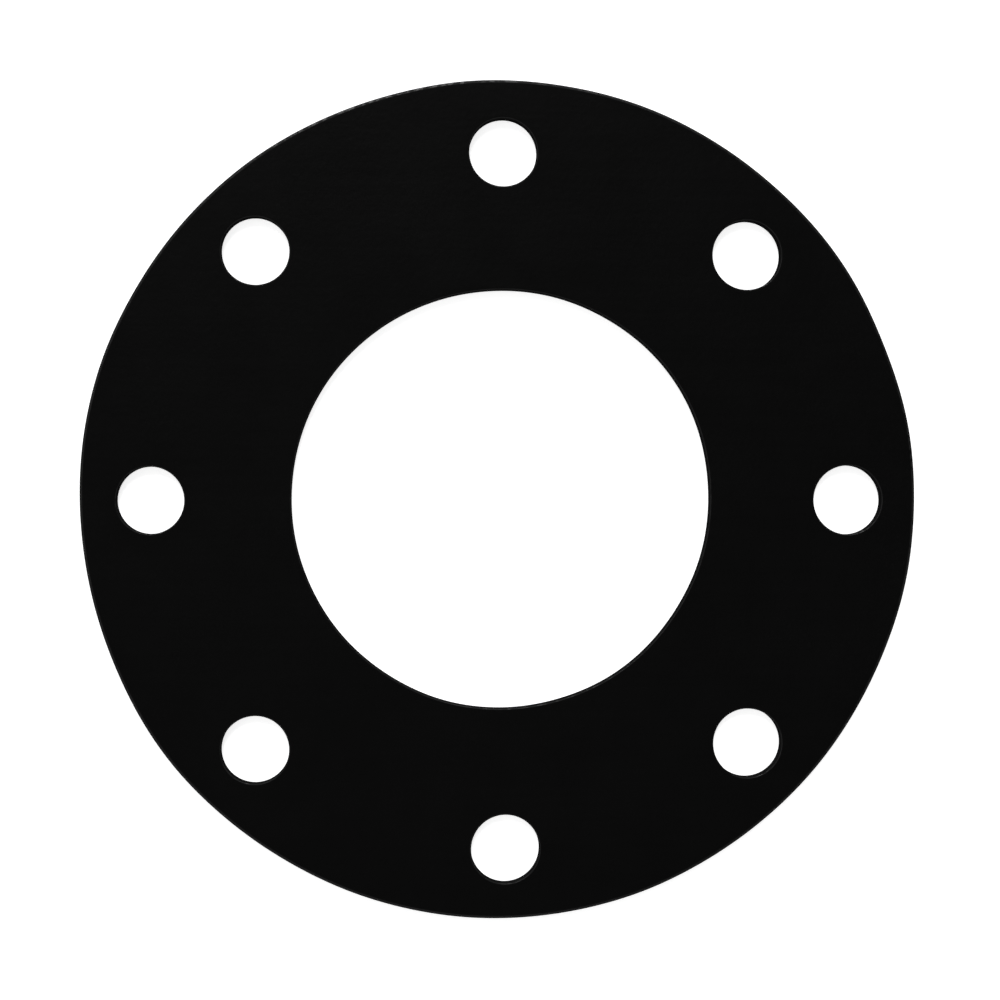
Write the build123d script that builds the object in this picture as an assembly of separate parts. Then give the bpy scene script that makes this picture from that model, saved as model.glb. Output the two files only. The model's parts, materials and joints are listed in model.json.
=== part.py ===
from build123d import *
import os

# Full-face gasket for a bolted pipe flange: one flat ring of black sheet rubber, cut by a die.
# Its outside edge follows the flange's rim, its bore opens onto the pipe, and the flange bolts
# pass through a circle of holes between the two. It seals against both flange faces alike.
#
# Frame: the origin is the centre of the bore on the underside, +Z is the pipe's axis, and +Y
# passes through the centre of one bolt hole. Lengths are in millimetres and angles in degrees.

# Driving dimensions, for the drilling of a 4 inch class 150 flange
bolt_circle_diameter = 190.5
bolt_hole_diameter = 18.7
bolt_hole_count = 8
first_bolt_hole_angle = 90.0
bore_diameter = 114.3
sheet_thickness = 3.2

# The land is the rubber left between each bolt hole and the outside edge. It is the same at
# every hole, so the outside edge keeps its distance wherever the flange's drilling puts them.
outer_land = 9.7
outside_diameter = bolt_circle_diameter + bolt_hole_diameter + 2 * outer_land

# The die enters from above and draws the rubber down with it, which leaves a small bevel round
# every rim on that side. The rims that it leaves by, on the underside, stay square.
rim_bevel = 0.3


def die_outline():
    """The flat shape that the die cuts: a disc, less the bore and the circle of bolt holes."""
    disc = Circle(outside_diameter / 2)
    bore = Circle(bore_diameter / 2)
    bolt_circle = PolarLocations(bolt_circle_diameter / 2, bolt_hole_count, first_bolt_hole_angle)
    bolt_holes = bolt_circle * Circle(bolt_hole_diameter / 2)
    return disc - bore - bolt_holes


def cut_gasket():
    """The outline cut through the sheet, with every rim of its upper face bevelled by the die."""
    blank = extrude(die_outline(), amount=sheet_thickness)
    upper_face = blank.faces().sort_by(Axis.Z)[-1]
    return chamfer(upper_face.edges(), length=rim_bevel)


gasket = cut_gasket()
gasket.label = "gasket"

os.makedirs("parts", exist_ok=True)
export_step(gasket, "parts/gasket.step")
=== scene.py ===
"""Full-face rubber flange gasket, lying flat under soft studio light.

The gasket is one flat ring of black sheet rubber. A die cut its outside edge and its bore, and a
punch made its bolt holes one at a time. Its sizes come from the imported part. A Geometry Nodes tree
gives every rim its rounding, every wall its hollow, and every cut the small wander of hand work.
All lengths are in metres.
"""
import json
import logging
import math
from dataclasses import dataclass, is_dataclass
from enum import Enum
from typing import Union

import bpy
from bpy.types import ID, Material, Node, NodeSocket, NodeTree, Object
from mathutils import Matrix, Vector


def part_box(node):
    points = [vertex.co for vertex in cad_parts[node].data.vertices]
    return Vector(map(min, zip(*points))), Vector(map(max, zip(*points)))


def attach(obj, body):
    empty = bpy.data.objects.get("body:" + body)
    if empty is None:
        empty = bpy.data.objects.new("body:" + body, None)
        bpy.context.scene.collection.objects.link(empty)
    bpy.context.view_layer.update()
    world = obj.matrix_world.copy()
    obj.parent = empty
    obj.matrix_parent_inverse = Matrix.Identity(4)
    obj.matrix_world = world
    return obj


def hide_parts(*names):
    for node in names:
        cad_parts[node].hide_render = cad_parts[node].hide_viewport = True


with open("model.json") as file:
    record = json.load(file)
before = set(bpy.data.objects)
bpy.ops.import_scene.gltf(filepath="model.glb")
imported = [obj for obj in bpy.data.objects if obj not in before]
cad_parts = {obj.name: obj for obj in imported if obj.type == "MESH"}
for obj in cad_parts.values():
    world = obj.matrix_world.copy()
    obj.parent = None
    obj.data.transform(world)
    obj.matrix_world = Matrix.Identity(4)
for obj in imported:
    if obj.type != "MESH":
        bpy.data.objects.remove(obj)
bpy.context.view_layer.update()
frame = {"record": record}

logging.basicConfig(level=logging.INFO, format="%(levelname)s %(message)s")
log = logging.getLogger("flange_gasket")

MM = 0.001


def add_object(name: str, data: ID) -> Object:
    """Adds an object to the scene.

    Args:
        name: the object's name.
        data: its mesh, lamp or camera.
    Returns:
        The object.
    """
    item = bpy.data.objects.new(name, data)
    bpy.context.scene.collection.objects.link(item)
    return item


# ---- Nodes -------------------------------------------------------

@dataclass(frozen=True)
class Field:
    """A number that a node puts out. Arithmetic on it adds the Math nodes that work it out."""

    graph: "NodeGraph"
    socket: NodeSocket

    def __add__(self, other: "Number") -> "Field":
        """This number plus another."""
        return self.graph.math("ADD", self, other)

    def __radd__(self, other: "Number") -> "Field":
        """Another number plus this one."""
        return self.graph.math("ADD", other, self)

    def __sub__(self, other: "Number") -> "Field":
        """This number less another."""
        return self.graph.math("SUBTRACT", self, other)

    def __rsub__(self, other: "Number") -> "Field":
        """Another number less this one."""
        return self.graph.math("SUBTRACT", other, self)

    def __mul__(self, other: "Number") -> "Field":
        """This number times another."""
        return self.graph.math("MULTIPLY", self, other)

    def __rmul__(self, other: "Number") -> "Field":
        """Another number times this one."""
        return self.graph.math("MULTIPLY", other, self)

    def __truediv__(self, other: "Number") -> "Field":
        """This number divided by another."""
        return self.graph.math("DIVIDE", self, other)

    def __rtruediv__(self, other: "Number") -> "Field":
        """Another number divided by this one."""
        return self.graph.math("DIVIDE", other, self)


Number = Union[Field, float, int]
Wire = Union[Field, NodeSocket, float, int, tuple]


class NodeGraph:
    """A node tree that is being wired. It sets each new node beside the last one."""

    COLUMNS = 14
    NODE_WIDTH = 190
    NODE_HEIGHT = 230

    def __init__(self, tree: NodeTree) -> None:
        """Starts on an empty tree."""
        self.tree = tree
        self.count = 0

    def add(self, kind: str, **settings: object) -> Node:
        """Adds a node.

        Args:
            kind: the node's type.
            settings: the node's own properties by name.
        Returns:
            The new node.
        """
        node = self.tree.nodes.new(kind)
        row, column = divmod(self.count, self.COLUMNS)
        node.location = (column * self.NODE_WIDTH, -row * self.NODE_HEIGHT)
        self.count += 1
        for name, value in settings.items():
            setattr(node, name, value)
        return node

    def feed(self, socket: NodeSocket, value: Wire) -> None:
        """Sets a socket, or links it where the value comes from another node.

        Args:
            socket: the socket that takes the value.
            value: a field, an output socket or a plain value.
        """
        if isinstance(value, Field):
            value = value.socket
        if isinstance(value, NodeSocket):
            self.tree.links.new(value, socket)
        else:
            socket.default_value = value

    def place(self, kind: str, inputs: dict, **settings: object) -> Node:
        """Adds a node and feeds its inputs.

        Args:
            kind: the node's type.
            inputs: what each input takes, by the input's name or number.
            settings: the node's own properties by name.
        Returns:
            The new node.
        """
        node = self.add(kind, **settings)
        for name, value in inputs.items():
            self.feed(node.inputs[name], value)
        return node

    def math(self, operation: str, *values: Number, clamp: bool = False) -> Field:
        """Adds a Math node.

        Args:
            operation: what the node does with its values.
            values: one, two or three numbers.
            clamp: whether the result stays between 0 and 1.
        Returns:
            The result.
        """
        node = self.add("ShaderNodeMath", operation=operation, use_clamp=clamp)
        for socket, value in zip(node.inputs, values):
            self.feed(socket, value)
        return Field(self, node.outputs[0])

    def share(self, value: Number) -> Field:
        """A number kept between 0 and 1."""
        return self.math("ADD", value, 0.0, clamp=True)

    def sin(self, angle: Number) -> Field:
        """The sine of an angle."""
        return self.math("SINE", angle)

    def cos(self, angle: Number) -> Field:
        """The cosine of an angle."""
        return self.math("COSINE", angle)

    def hypot(self, x: Field, y: Field) -> Field:
        """The length of the hypotenuse on two sides."""
        return self.math("SQRT", x * x + y * y)

    def vector(self, x: Number, y: Number, z: Number) -> NodeSocket:
        """Three numbers as one vector."""
        return self.place("ShaderNodeCombineXYZ", {"X": x, "Y": y, "Z": z}).outputs[0]

    def parts(self, vector: Wire) -> tuple[Field, Field, Field]:
        """A vector's three numbers."""
        node = self.place("ShaderNodeSeparateXYZ", {0: vector})
        return tuple(Field(self, socket) for socket in node.outputs)

    def ramp(self, value: Number, start: Number, end: Number, low: Number = 0.0,
             high: Number = 1.0) -> Field:
        """A smooth step from one level to another.

        Args:
            value: the number that is read.
            start: where the step starts.
            end: where the step ends.
            low: the level up to the start.
            high: the level from the end on.
        Returns:
            The level at the value.
        """
        levels = {"Value": value, "From Min": start, "From Max": end, "To Min": low, "To Max": high}
        node = self.place("ShaderNodeMapRange", levels, interpolation_type="SMOOTHSTEP")
        return Field(self, node.outputs["Result"])

    def noise(self, vector: Wire, scale: Number, detail: float = 0.0, roughness: float = 0.5,
              seed: Number = 0.0) -> Field:
        """Noise between 0 and 1.

        Args:
            vector: where the noise is read.
            scale: how many features there are to a unit of length.
            detail: how many finer layers are added.
            roughness: how strong each finer layer is beside the one before.
            seed: which of the patterns is read.
        Returns:
            The noise.
        """
        inputs = {"Vector": vector, "W": seed, "Scale": scale, "Detail": detail, "Roughness": roughness}
        node = self.place("ShaderNodeTexNoise", inputs, noise_dimensions="4D")
        return Field(self, node.outputs[0])


class GroupMaker(NodeGraph):
    """A node group that is being wired, with its named inputs and outputs."""

    def __init__(self, name: str, kind: str) -> None:
        """Starts an empty group whose tree is of the kind given."""
        super().__init__(bpy.data.node_groups.new(name, kind))
        self.source = self.add("NodeGroupInput")

    def input(self, name: str, kind: str = "NodeSocketFloat") -> NodeSocket:
        """Adds a named input whose socket is of the kind given."""
        self.tree.interface.new_socket(name=name, in_out="INPUT", socket_type=kind)
        return self.source.outputs[name]

    def number(self, name: str) -> Field:
        """Adds a named input that is a number."""
        return Field(self, self.input(name))

    def numbers(self, names: tuple[str, ...], prefix: str = "") -> dict[str, Field]:
        """Adds inputs that are numbers, each named with the prefix and listed without it."""
        return {name: self.number(prefix + name) for name in names}

    def finish(self, outputs: dict) -> NodeTree:
        """Adds the named outputs and feeds them.

        Args:
            outputs: the socket's type and its value for each output's name.
        Returns:
            The finished group.
        """
        for name, (kind, _) in outputs.items():
            self.tree.interface.new_socket(name=name, in_out="OUTPUT", socket_type=kind)
        target = self.add("NodeGroupOutput")
        for name, (_, value) in outputs.items():
            self.feed(target.inputs[name], value)
        return self.tree


# ---- The gasket's shape ------------------------------------------

class RubberSide(Enum):
    """Which way the rubber lies from a round wall: towards the gasket's centre or away from it."""

    INWARD = -1.0
    OUTWARD = 1.0


@dataclass(frozen=True)
class GasketSizes:
    """The sizes that the flange sets. The part's frame has a bolt hole on its Y axis."""

    outside_diameter: float
    bore_diameter: float
    thickness: float
    bolt_circle_diameter: float
    bolt_hole_diameter: float
    bolt_hole_count: int
    first_hole_angle: float = math.radians(90.0)

    @classmethod
    def from_frame(cls) -> "GasketSizes":
        """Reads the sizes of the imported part.

        Returns:
            The sizes.
        """
        low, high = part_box("gasket")
        mounts = {mount["name"]: mount for mount in frame["record"]["mounts"]}
        bore = mounts["pipe_bore"]["dims"]
        bolts = mounts["bolt_holes"]["dims"]
        return cls(
            outside_diameter=2 * max(*high, *(-corner for corner in low)),
            bore_diameter=2 * bore["r_mm"] * MM,
            thickness=high[2] - low[2],
            bolt_circle_diameter=bolts["pcd_mm"] * MM,
            bolt_hole_diameter=2 * bolts["hole_r_mm"] * MM,
            bolt_hole_count=bolts["count"],
        )


class Cut(Enum):
    """The three kinds of cut through the sheet, by the name that the tree's inputs give them."""

    OUTSIDE = "Outside"
    BORE = "Bore"
    HOLE = "Hole"


@dataclass(frozen=True)
class CutStyle:
    """What one tool does: how it rounds the rim that it enters by, and how it strays from its line."""

    rim_reach: float
    rim_drop: float
    wander_amount: float
    wander_scale: float
    wander_seed: float


@dataclass(frozen=True)
class CutShape:
    """How the die and the punch leave the rubber.

    The land is the strip of each face beside a cut. It moves with the cut where that strays, and the
    move dies away between the land and the edge fade, which are both measured from the cut.

    The seeds of the strays, with their scales and amounts, were found by a search, to fit one gasket.
    Any others give another gasket from the same tools, and amounts of 0 give the true drilling.
    """

    outside: CutStyle = CutStyle(
        rim_reach=0.90 * MM, rim_drop=0.35 * MM,
        wander_amount=1.12 * MM, wander_scale=15.0, wander_seed=81.05,
    )
    bore: CutStyle = CutStyle(
        rim_reach=0.40 * MM, rim_drop=0.25 * MM,
        wander_amount=1.50 * MM, wander_scale=14.0, wander_seed=378.15,
    )
    hole: CutStyle = CutStyle(
        rim_reach=0.40 * MM, rim_drop=0.25 * MM,
        wander_amount=0.77 * MM, wander_scale=6.0, wander_seed=1120.6,
    )
    foot_radius: float = 0.10 * MM
    wall_hollow: float = 0.12 * MM
    land: float = 1.15 * MM
    edge_fade: float = 5.0 * MM
    punch_scatter: float = 0.42 * MM
    punch_seed: int = 20692097


@dataclass(frozen=True)
class SheetLie:
    """How the limp sheet lies: it stands a little off the floor here and there."""

    sheet_lift: float = 0.25 * MM
    lift_scale: float = 9.0
    lift_seed: float = 2.0


@dataclass(frozen=True)
class MeshSteps:
    """How finely the gasket is divided: up a wall, across the sheet to it, and along it."""

    foot: int = 3
    wall: int = 5
    rim: int = 8
    sheet: int = 8
    arc: int = 48
    spoke: int = 24

    @property
    def profile(self) -> int:
        """Steps along a wall's section, with the land on each face."""
        return self.foot + self.wall + self.rim + 2

    @property
    def round_hole(self) -> int:
        """Steps round a bolt hole."""
        return 2 * self.arc + 2 * self.spoke

    @property
    def section(self) -> int:
        """Steps from the underside's outline, through the hole's wall, to the face's outline."""
        return 2 * self.sheet + self.profile


@dataclass(frozen=True)
class Plan:
    """The drawn lines of the cuts as the tree has them, with how far from them a stray is felt."""

    outside: Field
    bore: Field
    bolt_circle: Field
    hole: Field
    hole_count: Field
    first_angle: Field
    half_angle: Field
    land: Field
    fade: Field


class GasketTree:
    """Builds the Geometry Nodes tree that shapes the gasket."""

    KIND = "GeometryNodeTree"
    GEOMETRY = "NodeSocketGeometry"
    NUMBER = "NodeSocketFloat"
    SHARED_SIZES = ("Thickness", "Foot Radius", "Wall Hollow", "Land")
    RIM_SIZES = ("Rim Reach", "Rim Drop")
    WANDER_SIZES = ("Amount", "Scale", "Seed")
    WELD = 1e-6
    # The lift's noise: up to one level the sheet lies flat, and from the other it is lifted in full.
    FLAT_UP_TO = 0.45
    LIFTED_FROM = 0.80
    # A normal's Z: above one level the face is the sheet's, and below the other it is a wall's.
    LEVEL = 0.998
    STEEP = 0.82

    def __init__(self, steps: MeshSteps) -> None:
        """Builds the groups that the tree is made of.

        Args:
            steps: how finely the gasket is divided.
        """
        self.steps = steps
        self.profile = self.cut_profile()
        self.wall = self.ring_wall()
        self.sector = self.bolt_sector()
        self.wander = self.cut_wander()

    def cut_profile(self) -> NodeTree:
        """Builds the section of a cut wall, from the underside round to the face.

        Returns:
            A group that turns a step along the section into its depth in the rubber and its height.
        """
        steps = self.steps
        group = GroupMaker("Cut Profile", self.KIND)
        step = group.number("Step")
        sizes = group.numbers(self.SHARED_SIZES + self.RIM_SIZES)
        thickness, foot, land = sizes["Thickness"], sizes["Foot Radius"], sizes["Land"]
        reach, drop = sizes["Rim Reach"], sizes["Rim Drop"]
        quarter = math.pi / 2
        wall_start = 1.0 + steps.foot
        rim_start = wall_start + steps.wall
        rim_end = rim_start + steps.rim
        under_land = group.share(1.0 - step)
        foot_turn = group.share((step - 1.0) / steps.foot) * quarter
        climb = group.share((step - wall_start) / steps.wall)
        rim_turn = group.share((step - rim_start) / steps.rim) * quarter
        over_land = group.share(step - rim_end)
        # A parabola, which reaches the full hollow halfway up the wall.
        hollow = sizes["Wall Hollow"] * 4.0 * climb * (1.0 - climb)
        foot_depth = foot * (1.0 - group.sin(foot_turn)) + (land - foot) * under_land
        rim_depth = reach * (1.0 - group.cos(rim_turn)) + (land - reach) * over_land
        rise = foot * (1.0 - group.cos(foot_turn)) + (thickness - foot - drop) * climb
        height = rise + drop * group.sin(rim_turn)
        return group.finish({
            "Depth": (self.NUMBER, foot_depth + hollow + rim_depth),
            "Height": (self.NUMBER, height),
        })

    def read_profile(self, group: GroupMaker, step: Field, sizes: dict) -> tuple[Field, Field]:
        """Places the section's group, and reads the depth in the rubber and the height from it."""
        node = group.place("GeometryNodeGroup", {"Step": step, **sizes}, node_tree=self.profile)
        return Field(group, node.outputs["Depth"]), Field(group, node.outputs["Height"])

    @staticmethod
    def strip(group: GroupMaker, along: int, across: int) -> tuple[NodeSocket, Field, Field]:
        """Adds a grid of unit squares and reads each corner's step along it and across it.

        Args:
            group: the group that the grid goes into.
            along: steps along it.
            across: steps across it.
        Returns:
            The mesh, and the two steps.
        """
        grid = group.place("GeometryNodeMeshGrid", {
            "Size X": float(along), "Size Y": float(across),
            "Vertices X": along + 1, "Vertices Y": across + 1,
        })
        x, y, _ = group.parts(group.add("GeometryNodeInputPosition").outputs[0])
        return grid.outputs["Mesh"], x + along / 2, y + across / 2

    def ring_wall(self) -> NodeTree:
        """Builds a round wall about the gasket's centre, as on the outside edge and the bore.

        Returns:
            A group that puts out the wall's mesh.
        """
        group = GroupMaker("Ring Wall", self.KIND)
        radius = group.number("Radius")
        side = group.number("Rubber Side")
        start = group.number("Start Angle")
        turn = group.number("Turn")
        sizes = group.numbers(self.SHARED_SIZES + self.RIM_SIZES)
        mesh, along, across = self.strip(group, self.steps.arc, self.steps.profile)
        depth, height = self.read_profile(group, across, sizes)
        angle = start - side * turn * along / self.steps.arc
        reach = radius + side * depth
        place = group.vector(reach * group.cos(angle), reach * group.sin(angle), height)
        wall = group.place("GeometryNodeSetPosition", {"Geometry": mesh, "Position": place})
        return group.finish({"Mesh": (self.GEOMETRY, wall.outputs[0])})

    def bolt_sector(self) -> NodeTree:
        """Builds the rubber round one bolt hole, out to the lines halfway to its neighbours.

        Returns:
            A group that puts out the sector's mesh, with the hole's centre on the X axis.
        """
        steps = self.steps
        group = GroupMaker("Bolt Sector", self.KIND)
        outer = group.number("Outside Radius")
        inner = group.number("Bore Radius")
        centre = group.number("Bolt Circle Radius")
        hole = group.number("Bolt Hole Radius")
        half = group.number("Half Angle")
        sizes = group.numbers(self.SHARED_SIZES + self.RIM_SIZES)
        mesh, along, across = self.strip(group, steps.round_hole, steps.section)
        depth, height = self.read_profile(group, across - steps.sheet, sizes)

        # The sector's own outline: the outer arc, a spoke inwards, the bore's arc and a spoke outwards.
        outer_arc = group.share(along / steps.arc)
        spoke_in = group.share((along - steps.arc) / steps.spoke)
        bore_arc = group.share((along - (steps.arc + steps.spoke)) / steps.arc)
        spoke_out = group.share((along - (2 * steps.arc + steps.spoke)) / steps.spoke)
        angle = half - 2.0 * half * outer_arc + 2.0 * half * bore_arc
        far, near = outer - sizes["Land"], inner + sizes["Land"]
        reach = far + (far - near) * (spoke_out - spoke_in)
        edge_x, edge_y = reach * group.cos(angle), reach * group.sin(angle)

        # Each ray from the hole's centre to that outline carries the hole's section and the sheet.
        ray_x, ray_y = edge_x - centre, edge_y
        ray = group.hypot(ray_x, ray_y)
        under = group.share(1.0 - across / steps.sheet)
        over = group.share((across - (steps.sheet + steps.profile)) / steps.sheet)
        distance = hole + depth
        stretch = distance + (ray - distance) * (under + over)
        x, y = centre + stretch * ray_x / ray, stretch * ray_y / ray
        place = group.vector(x, y, height)
        sector = group.place("GeometryNodeSetPosition", {"Geometry": mesh, "Position": place})
        return group.finish({"Mesh": (self.GEOMETRY, sector.outputs[0])})

    def cut_wander(self) -> NodeTree:
        """Builds the slow stray of a cut from its drawn line.

        Returns:
            A group that turns a place into how far the cut strays there, out from its centre.
        """
        group = GroupMaker("Cut Wander", self.KIND)
        place = group.input("Place", "NodeSocketVector")
        sizes = group.numbers(self.WANDER_SIZES)
        noise = group.noise(place, sizes["Scale"], detail=1.0, seed=sizes["Seed"])
        # The noise runs from 0 to 1, so this runs from one amount inwards to one amount outwards.
        stray = (noise - 0.5) * 2.0 * sizes["Amount"]
        return group.finish({"Stray": (self.NUMBER, stray)})

    def read_wander(self, group: GroupMaker, place: Wire, cut: Cut) -> Field:
        """Places the stray of one cut, with its own amount, scale and seed.

        Args:
            group: the group that it goes into.
            place: where the cut is.
            cut: which cut.
        Returns:
            How far the cut strays.
        """
        wander = group.numbers(self.WANDER_SIZES, f"{cut.value} Wander ")
        node = group.place("GeometryNodeGroup", {"Place": place, **wander}, node_tree=self.wander)
        return Field(group, node.outputs["Stray"])

    def build(self) -> NodeTree:
        """Builds the whole tree.

        Returns:
            The tree, ready for a modifier.
        """
        group = GroupMaker("Flange Gasket", self.KIND)
        count = Field(group, group.input("Bolt Hole Count", "NodeSocketInt"))
        shared = group.numbers(self.SHARED_SIZES)
        plan = Plan(
            outside=group.number("Outside Diameter") / 2.0,
            bore=group.number("Bore Diameter") / 2.0,
            bolt_circle=group.number("Bolt Circle Diameter") / 2.0,
            hole=group.number("Bolt Hole Diameter") / 2.0,
            hole_count=count,
            first_angle=group.number("First Hole Angle"),
            half_angle=math.pi / count,
            land=shared["Land"],
            fade=group.number("Edge Fade"),
        )
        ring = self.ring_mesh(group, plan, self.slice_mesh(group, plan, shared))
        laid = self.laid(group, self.strayed(group, plan, ring))
        smooth = group.place("GeometryNodeSetShadeSmooth", {"Geometry": laid})
        real = group.place("GeometryNodeRealizeInstances", {0: smooth.outputs[0]})
        return group.finish({"Geometry": (self.GEOMETRY, self.dressed(group, real.outputs[0]))})

    def slice_mesh(self, group: GroupMaker, plan: Plan, shared: dict) -> NodeSocket:
        """Joins the rubber round one bolt hole to its own stretches of the outside edge and the bore.

        Args:
            group: the tree.
            plan: the drawn lines.
            shared: the sizes that every wall's section has, by name.
        Returns:
            The mesh of one slice of the ring.
        """
        sections = {cut: {**shared, **group.numbers(self.RIM_SIZES, f"{cut.value} ")} for cut in Cut}
        sector = group.place("GeometryNodeGroup", {
            "Outside Radius": plan.outside, "Bore Radius": plan.bore,
            "Bolt Circle Radius": plan.bolt_circle, "Bolt Hole Radius": plan.hole,
            "Half Angle": plan.half_angle, **sections[Cut.HOLE],
        }, node_tree=self.sector)
        outside = self.wall_mesh(group, plan, plan.outside, RubberSide.INWARD, sections[Cut.OUTSIDE])
        bore = self.wall_mesh(group, plan, plan.bore, RubberSide.OUTWARD, sections[Cut.BORE])
        joined = group.add("GeometryNodeJoinGeometry")
        for mesh in (sector.outputs[0], outside, bore):
            group.tree.links.new(mesh, joined.inputs[0])
        return joined.outputs[0]

    def wall_mesh(self, group: GroupMaker, plan: Plan, radius: Field, side: RubberSide,
                  sizes: dict) -> NodeSocket:
        """Places one slice's stretch of a round wall.

        Args:
            group: the tree.
            plan: the drawn lines.
            radius: the wall's radius.
            side: which way the rubber lies.
            sizes: the section's sizes by name.
        Returns:
            The mesh.
        """
        inputs = {
            "Radius": radius, "Rubber Side": side.value, "Start Angle": side.value * plan.half_angle,
            "Turn": 2.0 * plan.half_angle, **sizes,
        }
        return group.place("GeometryNodeGroup", inputs, node_tree=self.wall).outputs[0]

    def ring_mesh(self, group: GroupMaker, plan: Plan, one_slice: NodeSocket) -> NodeSocket:
        """Sets a slice round each bolt hole and welds them into one ring.

        Args:
            group: the tree.
            plan: the drawn lines.
            one_slice: the mesh of one slice.
        Returns:
            The true gasket.
        """
        index = Field(group, group.add("GeometryNodeInputIndex").outputs[0])
        turn = group.vector(0.0, 0.0, plan.first_angle + 2.0 * plan.half_angle * index)
        points = group.place("GeometryNodePoints", {"Count": plan.hole_count})
        copies = group.place("GeometryNodeInstanceOnPoints", {
            "Points": points.outputs[0], "Instance": one_slice, "Rotation": turn,
        })
        whole = group.place("GeometryNodeRealizeInstances", {0: copies.outputs[0]})
        seams = {"Geometry": whole.outputs[0], "Distance": self.WELD}
        return group.place("GeometryNodeMergeByDistance", seams).outputs[0]

    def strayed(self, group: GroupMaker, plan: Plan, mesh: NodeSocket) -> NodeSocket:
        """Moves each cut off its drawn line by its wander, and each hole by its punch's scatter as well.

        Args:
            group: the tree.
            plan: the drawn lines.
            mesh: the true gasket.
        Returns:
            The strayed mesh.
        """
        x, y, _ = group.parts(group.add("GeometryNodeInputPosition").outputs[0])
        place = group.vector(x, y, 0.0)
        reach = group.hypot(x, y)
        outward = (
            self.read_wander(group, place, Cut.OUTSIDE)
            * group.ramp(reach, plan.outside - plan.fade, plan.outside - plan.land)
            + self.read_wander(group, place, Cut.BORE)
            * group.ramp(reach, plan.bore + plan.fade, plan.bore + plan.land)
        )

        # The nearest hole, counted round from the first one.
        angle = group.math("ARCTAN2", y, x)
        number = group.math("ROUND", (angle - plan.first_angle) / (2.0 * plan.half_angle))
        hole_angle = plan.first_angle + number * 2.0 * plan.half_angle
        from_x = x - plan.bolt_circle * group.cos(hole_angle)
        from_y = y - plan.bolt_circle * group.sin(hole_angle)
        distance = group.hypot(from_x, from_y)
        near_hole = group.ramp(distance, plan.hole + plan.fade, plan.hole + plan.land)
        widening = self.read_wander(group, place, Cut.HOLE) * near_hole
        off_x, off_y = self.punch_landing(group, plan, number)
        scatter = group.number("Punch Scatter") * near_hole

        move_x = outward * x / reach + widening * from_x / distance + off_x * scatter
        move_y = outward * y / reach + widening * from_y / distance + off_y * scatter
        offset = group.vector(move_x, move_y, 0.0)
        return group.place("GeometryNodeSetPosition", {"Geometry": mesh, "Offset": offset}).outputs[0]

    @staticmethod
    def punch_landing(group: GroupMaker, plan: Plan, number: Field) -> tuple[Field, Field]:
        """Draws where the punch lands for each hole, by the punch's seed.

        Args:
            group: the tree.
            plan: the drawn lines.
            number: the hole's number round from the first one, which is negative on one side of it.
        Returns:
            How far off the punch lands along X and along Y, each from -1 to 1.
        """
        landing = group.place("FunctionNodeRandomValue", {
            "Min": (-1.0, -1.0, 0.0), "Max": (1.0, 1.0, 0.0),
            "ID": group.math("FLOORED_MODULO", number, plan.hole_count),
            "Seed": group.input("Punch Seed", "NodeSocketInt"),
        }, data_type="FLOAT_VECTOR")
        off_x, off_y, _ = group.parts(landing.outputs["Value"])
        return off_x, off_y

    def laid(self, group: GroupMaker, mesh: NodeSocket) -> NodeSocket:
        """Lets the sheet stand a little off the floor here and there, as limp rubber does.

        Args:
            group: the tree.
            mesh: the flat gasket.
        Returns:
            The gasket as it lies.
        """
        lift = group.number("Sheet Lift")
        scale = group.number("Lift Scale")
        seed = group.number("Lift Seed")
        x, y, _ = group.parts(group.add("GeometryNodeInputPosition").outputs[0])
        noise = group.noise(group.vector(x, y, 0.0), scale, seed=seed)
        offset = group.vector(0.0, 0.0, group.ramp(noise, self.FLAT_UP_TO, self.LIFTED_FROM) * lift)
        return group.place("GeometryNodeSetPosition", {"Geometry": mesh, "Offset": offset}).outputs[0]

    def dressed(self, group: GroupMaker, mesh: NodeSocket) -> NodeSocket:
        """Gives the sheet's faces, the cut walls and the rims that the die rubbed their finishes.

        Args:
            group: the tree.
            mesh: the gasket.
        Returns:
            The gasket with its finishes.
        """
        _, _, up = group.parts(group.add("GeometryNodeInputNormal").outputs[0])
        on_edge = group.math("LESS_THAN", group.math("ABSOLUTE", up), self.LEVEL)
        on_rim = on_edge * group.math("GREATER_THAN", up, self.STEEP)
        for name, selection in (("Sheet", True), ("Cut", on_edge), ("Rim", on_rim)):
            mesh = group.place("GeometryNodeSetMaterial", {
                "Geometry": mesh, "Selection": selection,
                "Material": group.input(f"{name} Material", "NodeSocketMaterial"),
            }).outputs[0]
        return mesh


def inputs_from(sizes: object, prefix: str = "") -> dict[str, float]:
    """Names the tree's inputs after the fields that hold their values, as "Edge Fade" after edge_fade.

    Args:
        sizes: a dataclass. A dataclass inside it puts its own name before those of its fields.
        prefix: what stands before each name.
    Returns:
        The values by the input's name.
    """
    values = {}
    for field, value in vars(sizes).items():
        name = prefix + field.replace("_", " ").title()
        values.update(inputs_from(value, f"{name} ") if is_dataclass(value) else {name: value})
    return values


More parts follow.
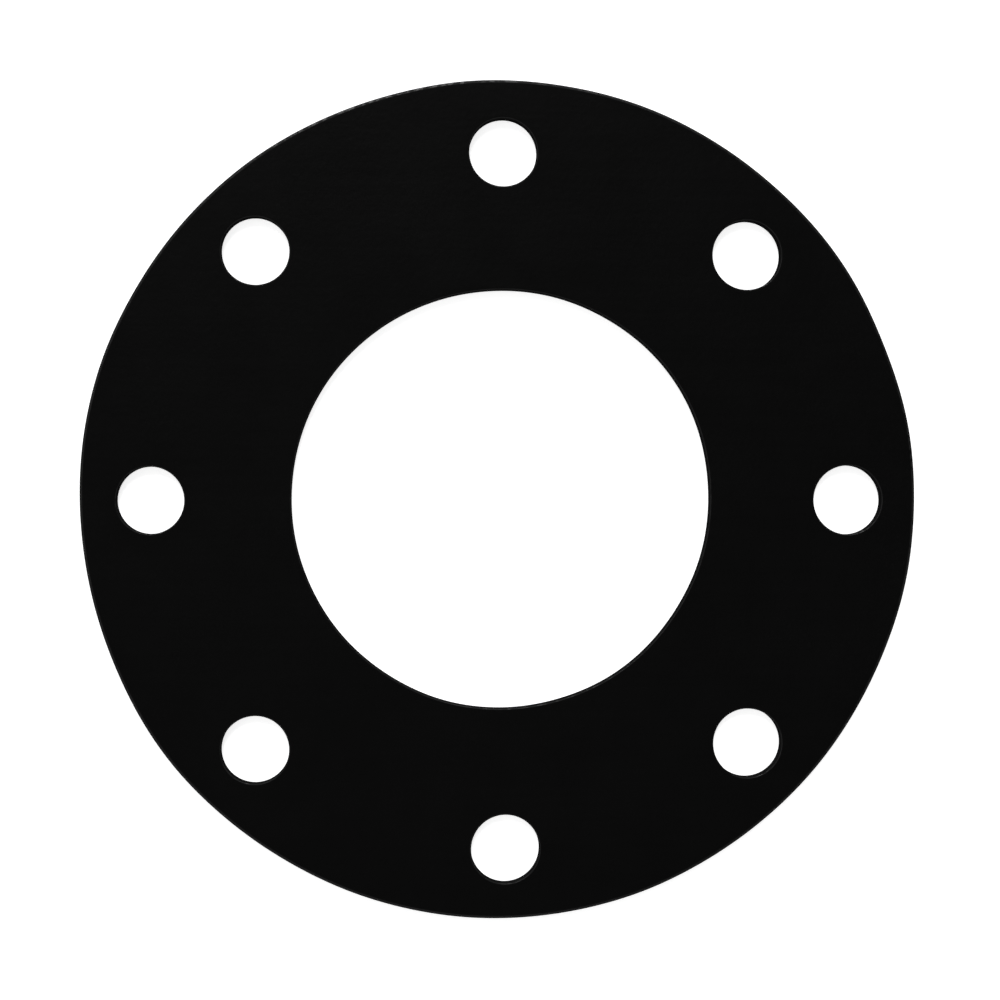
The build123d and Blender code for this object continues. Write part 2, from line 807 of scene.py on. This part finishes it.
class Gasket:
    """The gasket: one ring cut from flat sheet rubber."""

    NODE = "gasket"
    BODY = "root"
    SLOT = "black_rubber"
    PIECE = "cut_gasket"

    def __init__(self, sizes: GasketSizes, cuts: CutShape, lie: SheetLie, steps: MeshSteps) -> None:
        """Keeps what the gasket is made from.

        Args:
            sizes: the sizes that the flange sets.
            cuts: how the die and the punch leave the rubber.
            lie: how the sheet lies.
            steps: how finely the gasket is divided.
        """
        self.sizes = sizes
        self.cuts = cuts
        self.lie = lie
        self.steps = steps

    def build(self, finishes: dict[str, Material]) -> Object:
        """Shapes the gasket and makes it a plain mesh.

        Args:
            finishes: the materials by the name of their input.
        Returns:
            The gasket.
        """
        tree = GasketTree(self.steps).build()
        blank = add_object("gasket_blank", bpy.data.meshes.new("gasket_blank"))
        modifier = blank.modifiers.new("Shape", "NODES")
        modifier.node_group = tree
        values = dict(finishes)
        for sizes in (self.sizes, self.cuts, self.lie):
            values.update(inputs_from(sizes))
        for item in tree.interface.items_tree:
            if item.in_out == "INPUT":
                modifier[item.identifier] = values[item.name]
        depsgraph = bpy.context.evaluated_depsgraph_get()
        mesh = bpy.data.meshes.new_from_object(blank.evaluated_get(depsgraph), depsgraph=depsgraph)
        bpy.data.objects.remove(blank)
        mesh.name = self.PIECE
        # The tree's grids come with an empty first slot, and every face has a finish by now.
        mesh.materials.pop(index=0)
        return add_object(self.PIECE, mesh)

    def fit(self, piece: Object) -> None:
        """Puts the gasket in the place of the plain packed one.

        Args:
            piece: the gasket.
        """
        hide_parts(self.NODE)
        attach(piece, self.BODY)


# ---- Finishes ----------------------------------------------------

class MaterialMaker(NodeGraph):
    """A material that is being wired round one Principled shader."""

    # The Mix node calls its number, vector and colour sockets alike, so those for colour go by number.
    MIX_SHARE, MIX_FIRST, MIX_SECOND, MIX_COLOUR = 0, 6, 7, 2

    def __init__(self, name: str) -> None:
        """Starts a material with nothing on its shader.

        Args:
            name: the material's name.
        """
        self.material = bpy.data.materials.new(name)
        self.material.use_nodes = True
        super().__init__(self.material.node_tree)
        self.tree.nodes.clear()
        self.place_on = self.add("ShaderNodeTexCoord").outputs["Object"]

    def blend(self, share: Wire, first: Wire, second: Wire) -> NodeSocket:
        """A colour between two others, which is the second one where the share is 1."""
        inputs = {self.MIX_SHARE: share, self.MIX_FIRST: first, self.MIX_SECOND: second}
        return self.place("ShaderNodeMix", inputs, data_type="RGBA").outputs[self.MIX_COLOUR]

    def bump(self, height: Field) -> NodeSocket:
        """A normal that is turned by a relief, whose height is in metres."""
        relief = {"Height": height, "Distance": 1.0, "Strength": 1.0}
        return self.place("ShaderNodeBump", relief).outputs["Normal"]

    def finish(self, inputs: dict) -> Material:
        """Adds the shader and the output.

        Args:
            inputs: what the shader's inputs take, by name.
        Returns:
            The finished material.
        """
        shader = self.place("ShaderNodeBsdfPrincipled", inputs)
        self.place("ShaderNodeOutputMaterial", {"Surface": shader.outputs[0]})
        return self.material


class Effect(Enum):
    """The effects that the finishes share, by the name of their group."""

    GRAIN = "Rubber Grain"
    BLOOM = "Rubber Bloom"


class EffectShelf:
    """Builds each shared effect once."""

    KIND = "ShaderNodeTree"
    NUMBER = "NodeSocketFloat"
    # The grain: how much finer its second layer is, and the first one's share of the height.
    FINER = 3.2
    COARSE_SHARE = 0.7
    COARSE_SEED = 1.3
    FINE_SEED = 4.1
    MOTTLE_SEED = 8.7
    MOTTLE_RANGE = (0.30, 0.70)
    # The bloom: how softly a patch ends, and the levels of the noise between which a speck shows.
    PATCH_BLUR = 0.25
    PATCH_SEED = 2.9
    SPECK_SEED = 6.4
    SPECK_RANGE = (0.50, 0.75)

    def __init__(self) -> None:
        """Builds the effects."""
        self.groups = {Effect.GRAIN: self.grain(), Effect.BLOOM: self.bloom()}

    def grain(self) -> NodeTree:
        """Builds the grain of pressed rubber: soft pimples with finer ones on them.

        Returns:
            A group that puts out the grain's height, and a slow mottle.
        """
        group = GroupMaker(Effect.GRAIN.value, self.KIND)
        place = group.input("Place", "NodeSocketVector")
        size = group.number("Grain Size")
        spread = group.number("Mottle Size")
        coarse = group.noise(place, 1.0 / size, detail=1.0, seed=self.COARSE_SEED)
        fine = group.noise(place, self.FINER / size, detail=1.0, seed=self.FINE_SEED)
        mottle = group.noise(place, 1.0 / spread, detail=3.0, roughness=0.6, seed=self.MOTTLE_SEED)
        return group.finish({
            "Height": (self.NUMBER, coarse * self.COARSE_SHARE + fine * (1.0 - self.COARSE_SHARE)),
            "Mottle": (self.NUMBER, group.ramp(mottle, *self.MOTTLE_RANGE)),
        })

    def bloom(self) -> NodeTree:
        """Builds the faint patches of dust that rubber holds.

        Returns:
            A group that puts out where the dust lies.
        """
        group = GroupMaker(Effect.BLOOM.value, self.KIND)
        place = group.input("Place", "NodeSocketVector")
        patch = group.number("Patch Size")
        speck = group.number("Speck Size")
        edge = 1.0 - group.number("Cover")
        patches = group.noise(place, 1.0 / patch, detail=2.0, seed=self.PATCH_SEED)
        specks = group.noise(place, 1.0 / speck, detail=2.0, roughness=0.7, seed=self.SPECK_SEED)
        dusty = group.ramp(patches, edge - self.PATCH_BLUR, edge + self.PATCH_BLUR)
        return group.finish({"Mask": (self.NUMBER, dusty * group.ramp(specks, *self.SPECK_RANGE))})

    def use(self, maker: MaterialMaker, effect: Effect, sizes: dict[str, float]) -> dict[str, Field]:
        """Places an effect in a material.

        Args:
            maker: the material.
            effect: which effect.
            sizes: the effect's sizes, by the name of their input.
        Returns:
            What the effect puts out, by name.
        """
        inputs = {"Place": maker.place_on, **sizes}
        node = maker.place("ShaderNodeGroup", inputs, node_tree=self.groups[effect])
        return {socket.name: Field(maker, socket) for socket in node.outputs}


def grey(level: float) -> tuple[float, float, float, float]:
    """A grey of one level, as a colour."""
    return (level, level, level, 1.0)


@dataclass(frozen=True)
class SheetFinish:
    """The face of calendered black rubber: near black, dull, finely grained and faintly streaked."""

    name: str = "black_rubber_sheet"
    dark: float = 0.0012
    light: float = 0.0018
    dust: float = 0.0040
    dust_patch: float = 30 * MM
    dust_speck: float = 0.45 * MM
    dust_cover: float = 0.40
    roughness: float = 0.40
    roughness_swing: float = 0.10
    specular: float = 0.05
    mottle_size: float = 14 * MM
    mottle_share: float = 0.4
    grain_size: float = 0.32 * MM
    grain_depth: float = 0.02 * MM
    peel_size: float = 1.30 * MM
    peel_depth: float = 0.055 * MM
    peel_seed: float = 3.7
    streak_width: float = 1.6 * MM
    streak_stretch: float = 0.03
    streak_depth: float = 0.020 * MM

    def build(self, shelf: EffectShelf) -> Material:
        """Builds the material.

        Args:
            shelf: the shared effects.
        Returns:
            The material.
        """
        maker = MaterialMaker(self.name)
        grain = shelf.use(maker, Effect.GRAIN, {
            "Grain Size": self.grain_size, "Mottle Size": self.mottle_size,
        })
        dust = shelf.use(maker, Effect.BLOOM, {
            "Patch Size": self.dust_patch, "Speck Size": self.dust_speck, "Cover": self.dust_cover,
        })
        x, y, z = maker.parts(maker.place_on)
        along = maker.vector(x * self.streak_stretch, y, z)
        streaks = maker.noise(along, 1.0 / self.streak_width, detail=2.0)
        peel = maker.noise(maker.place_on, 1.0 / self.peel_size, detail=1.0, seed=self.peel_seed)
        tone = grain["Mottle"] * self.mottle_share + streaks * (1.0 - self.mottle_share)
        base = maker.blend(tone, grey(self.dark), grey(self.light))
        height = grain["Height"] * self.grain_depth + peel * self.peel_depth + streaks * self.streak_depth
        return maker.finish({
            "Base Color": maker.blend(dust["Mask"], base, grey(self.dust)),
            "Roughness": self.roughness + (tone - 0.5) * self.roughness_swing,
            "Specular IOR Level": self.specular,
            "Normal": maker.bump(height),
        })


@dataclass(frozen=True)
class CutFinish:
    """A cut wall: a little greyer than the face, with fine upright lines where the blade dragged."""

    name: str = "black_rubber_cut"
    dark: float = 0.0042
    light: float = 0.0120
    dust: float = 0.0240
    dust_patch: float = 8 * MM
    dust_speck: float = 0.30 * MM
    dust_cover: float = 0.45
    roughness: float = 0.80
    roughness_swing: float = 0.20
    specular: float = 0.0
    mottle_size: float = 5 * MM
    mottle_share: float = 0.4
    grain_size: float = 0.20 * MM
    grain_depth: float = 0.02 * MM
    line_width: float = 0.28 * MM
    line_stretch: float = 0.06
    line_depth: float = 0.06 * MM

    def build(self, shelf: EffectShelf) -> Material:
        """Builds the material.

        Args:
            shelf: the shared effects.
        Returns:
            The material.
        """
        maker = MaterialMaker(self.name)
        grain = shelf.use(maker, Effect.GRAIN, {
            "Grain Size": self.grain_size, "Mottle Size": self.mottle_size,
        })
        dust = shelf.use(maker, Effect.BLOOM, {
            "Patch Size": self.dust_patch, "Speck Size": self.dust_speck, "Cover": self.dust_cover,
        })
        x, y, z = maker.parts(maker.place_on)
        upright = maker.vector(x, y, z * self.line_stretch)
        lines = maker.noise(upright, 1.0 / self.line_width, detail=2.0, roughness=0.6)
        tone = grain["Mottle"] * self.mottle_share + lines * (1.0 - self.mottle_share)
        base = maker.blend(tone, grey(self.dark), grey(self.light))
        height = grain["Height"] * self.grain_depth + lines * self.line_depth
        return maker.finish({
            "Base Color": maker.blend(dust["Mask"], base, grey(self.dust)),
            "Roughness": self.roughness + (grain["Mottle"] + lines - 1.0) * self.roughness_swing,
            "Specular IOR Level": self.specular,
            "Normal": maker.bump(height),
        })


@dataclass(frozen=True)
class RimFinish:
    """A rim that the die has rubbed: smoother than the face, and scuffed dull in short stretches."""

    name: str = "black_rubber_rim"
    dark: float = 0.0015
    scuffed: float = 0.0026
    smooth: float = 0.22
    dull: float = 0.80
    specular: float = 0.24
    scuff_length: float = 1.4 * MM
    scuff_range: tuple[float, float] = (0.42, 0.52)
    scuff_share: float = 0.8
    scuff_seed: float = 5.2
    mottle_size: float = 9 * MM
    grain_size: float = 0.18 * MM
    grain_depth: float = 0.008 * MM

    def build(self, shelf: EffectShelf) -> Material:
        """Builds the material.

        Args:
            shelf: the shared effects.
        Returns:
            The material.
        """
        maker = MaterialMaker(self.name)
        grain = shelf.use(maker, Effect.GRAIN, {
            "Grain Size": self.grain_size, "Mottle Size": self.mottle_size,
        })
        noise = maker.noise(
            maker.place_on, 1.0 / self.scuff_length, detail=3.0, roughness=0.65, seed=self.scuff_seed,
        )
        scuffs = maker.ramp(noise, *self.scuff_range)
        dull = maker.share(scuffs * self.scuff_share + grain["Mottle"] * (1.0 - self.scuff_share))
        return maker.finish({
            "Base Color": maker.blend(dull, grey(self.dark), grey(self.scuffed)),
            "Roughness": self.smooth + dull * (self.dull - self.smooth),
            "Specular IOR Level": self.specular,
            "Normal": maker.bump(grain["Height"] * self.grain_depth),
        })


# ---- Studio ------------------------------------------------------

@dataclass(frozen=True)
class SoftLamp:
    """A large soft light far off, so that it lights the whole floor alike. Its angles are in degrees."""

    name: str
    azimuth: float
    elevation: float
    spread: float
    level: float

    def build(self) -> None:
        """Hangs the lamp."""
        azimuth, elevation = math.radians(self.azimuth), math.radians(self.elevation)
        flat = math.cos(elevation)
        towards = Vector((flat * math.cos(azimuth), flat * math.sin(azimuth), math.sin(elevation)))
        lamp = bpy.data.lights.new(self.name, "SUN")
        lamp.angle = math.radians(self.spread)
        lamp.energy = math.pi * self.level / math.sin(elevation)
        item = add_object(self.name, lamp)
        item.rotation_euler = towards.to_track_quat("Z", "Y").to_euler()
        log.info("%s at azimuth %.0f, elevation %.0f", self.name, self.azimuth, self.elevation)


@dataclass(frozen=True)
class Studio:
    """The pale floor, the soft lamps, and the surround, which darkens between two elevations in degrees."""

    floor_radius: float = 6.0
    floor_corners: int = 96
    floor_colour: float = 0.82
    floor_glow: float = 0.73
    surround: float = 1.01
    overhead: float = 0.10
    bright_up_to: float = 17.0
    dark_from: float = 25.0
    lamps: tuple[SoftLamp, ...] = (
        SoftLamp("key_light", azimuth=97.0, elevation=42.0, spread=34.0, level=0.48),
        SoftLamp("fill_light", azimuth=215.0, elevation=50.0, spread=120.0, level=0.20),
    )

    def build(self) -> None:
        """Builds the floor, the surround and the lamps."""
        self.floor()
        self.sky()
        for lamp in self.lamps:
            lamp.build()

    def floor(self) -> None:
        """Lays the floor."""
        turn = 2 * math.pi / self.floor_corners
        angles = [corner * turn for corner in range(self.floor_corners)]
        rim = [(self.floor_radius * math.cos(a), self.floor_radius * math.sin(a), 0.0) for a in angles]
        mesh = bpy.data.meshes.new("floor")
        mesh.from_pydata(rim, [], [tuple(range(self.floor_corners))])
        mesh.materials.append(self.floor_material())
        add_object("floor", mesh)

    def floor_material(self) -> Material:
        """Builds the floor's plain pale finish, which shows white and still takes the shadow.

        Returns:
            The material.
        """
        maker = MaterialMaker("pale_floor")
        path = maker.add("ShaderNodeLightPath")
        seen = (
            Field(maker, path.outputs["Is Camera Ray"])
            + Field(maker, path.outputs["Is Glossy Ray"])
            + Field(maker, path.outputs["Is Transmission Ray"])
        )
        glow = maker.place("ShaderNodeEmission", {"Strength": maker.share(seen) * self.floor_glow})
        matt = maker.place("ShaderNodeBsdfDiffuse", {"Color": grey(self.floor_colour)})
        both = maker.place("ShaderNodeAddShader", {0: matt.outputs[0], 1: glow.outputs[0]})
        maker.place("ShaderNodeOutputMaterial", {"Surface": both.outputs[0]})
        return maker.material

    def sky(self) -> None:
        """Builds the surround: white round the horizon and dark overhead, so that black stays black."""
        world = bpy.data.worlds.new("surround")
        world.use_nodes = True
        bpy.context.scene.world = world
        graph = NodeGraph(world.node_tree)
        graph.tree.nodes.clear()
        direction = graph.add("ShaderNodeTexCoord").outputs["Generated"]
        _, _, up = graph.parts(direction)
        start, end = math.sin(math.radians(self.bright_up_to)), math.sin(math.radians(self.dark_from))
        level = graph.ramp(up, start, end, self.surround, self.overhead)
        light = graph.place("ShaderNodeBackground", {"Color": grey(1.0), "Strength": level})
        graph.place("ShaderNodeOutputWorld", {"Surface": light.outputs[0]})


@dataclass(frozen=True)
class PlanCamera:
    """A camera nearly straight above the gasket, a little to its left."""

    lens: float = 60.87
    height: float = 463.7 * MM
    offset: tuple[float, float] = (-31.2 * MM, 2.4 * MM)
    aim: tuple[float, float] = (-0.67 * MM, -0.04 * MM)
    roll: float = 0.12

    def build(self) -> None:
        """Sets the camera up and makes it the scene's own."""
        data = bpy.data.cameras.new("plan_camera")
        data.lens = self.lens
        place = Vector((*self.offset, self.height))
        back = (place - Vector((*self.aim, 0.0))).normalized()
        roll = math.radians(self.roll)
        right = Vector((math.sin(roll), math.cos(roll), 0.0)).cross(back).normalized()
        turn = Matrix((right, back.cross(right), back)).transposed().to_4x4()
        item = add_object("plan_camera", data)
        item.matrix_world = Matrix.Translation(place) @ turn
        bpy.context.scene.camera = item


def main() -> None:
    """Builds the camera, the studio and the gasket."""
    bpy.context.scene.view_settings.view_transform = "Standard"
    PlanCamera().build()
    Studio().build()
    shelf = EffectShelf()
    gasket = Gasket(GasketSizes.from_frame(), CutShape(), SheetLie(), MeshSteps())
    piece = gasket.build({
        "Sheet Material": SheetFinish().build(shelf),
        "Cut Material": CutFinish().build(shelf),
        "Rim Material": RimFinish().build(shelf),
    })
    gasket.fit(piece)
    log.info("%s: %d faces, %d corners", piece.name, len(piece.data.polygons), len(piece.data.vertices))


if __name__ == "__main__":
    main()
